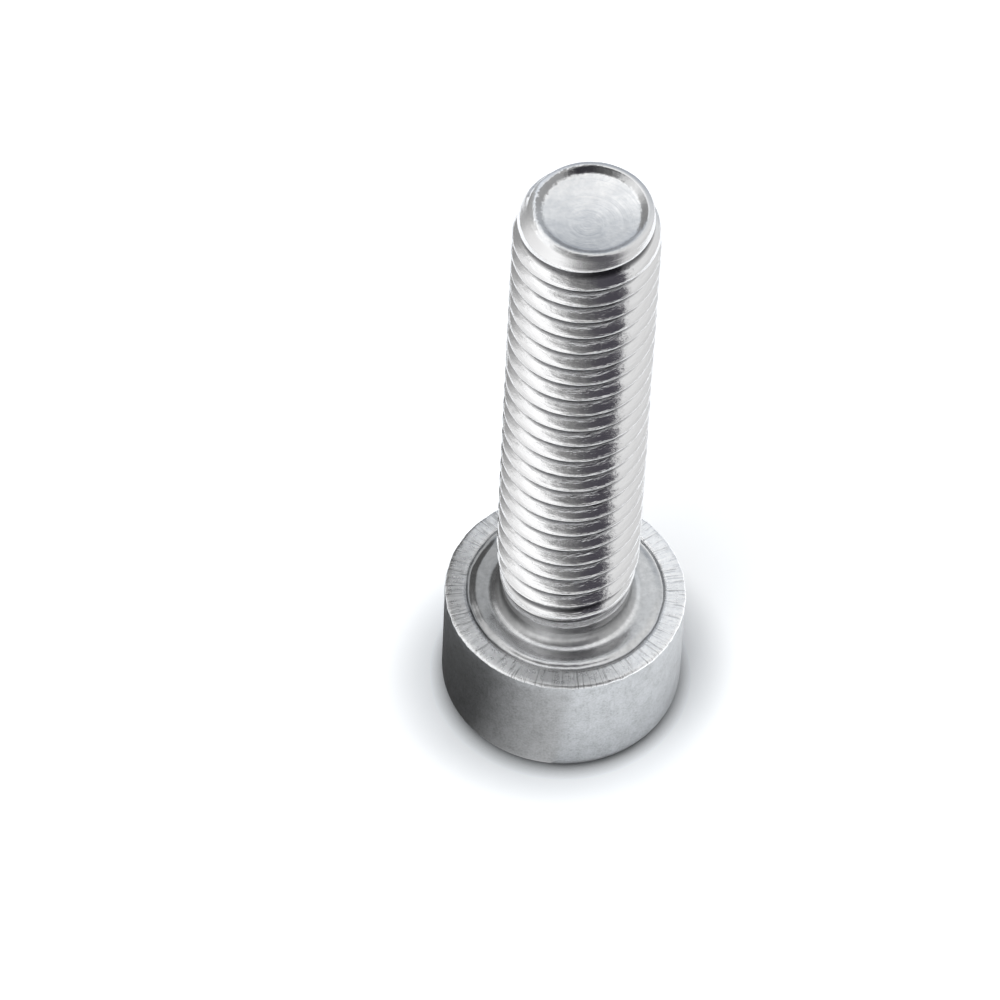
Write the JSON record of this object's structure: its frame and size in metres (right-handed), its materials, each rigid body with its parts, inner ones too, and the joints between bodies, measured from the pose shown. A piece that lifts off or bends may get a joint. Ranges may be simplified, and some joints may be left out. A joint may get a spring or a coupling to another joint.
{
  "type": "hex socket cap screw",
  "caption": "Fully threaded steel machine screw with a cylindrical head and a hexagonal socket, which clamps parts together and is turned with a hex key.",
  "frame": {"origin": "centre of the socket face of the head, which is the face that the screw stands on", "axes": "+Z along the screw's axis, from the head to the tip of the thread"},
  "size_m": [0.01, 0.01, 0.0309],
  "materials": {
    "stainless_steel": "bright rolled thread, satin bearing face, matt forged head"
  },
  "bodies": {
    "root": {"cap_screw": "stainless_steel"}
  },
  "joints": []
}
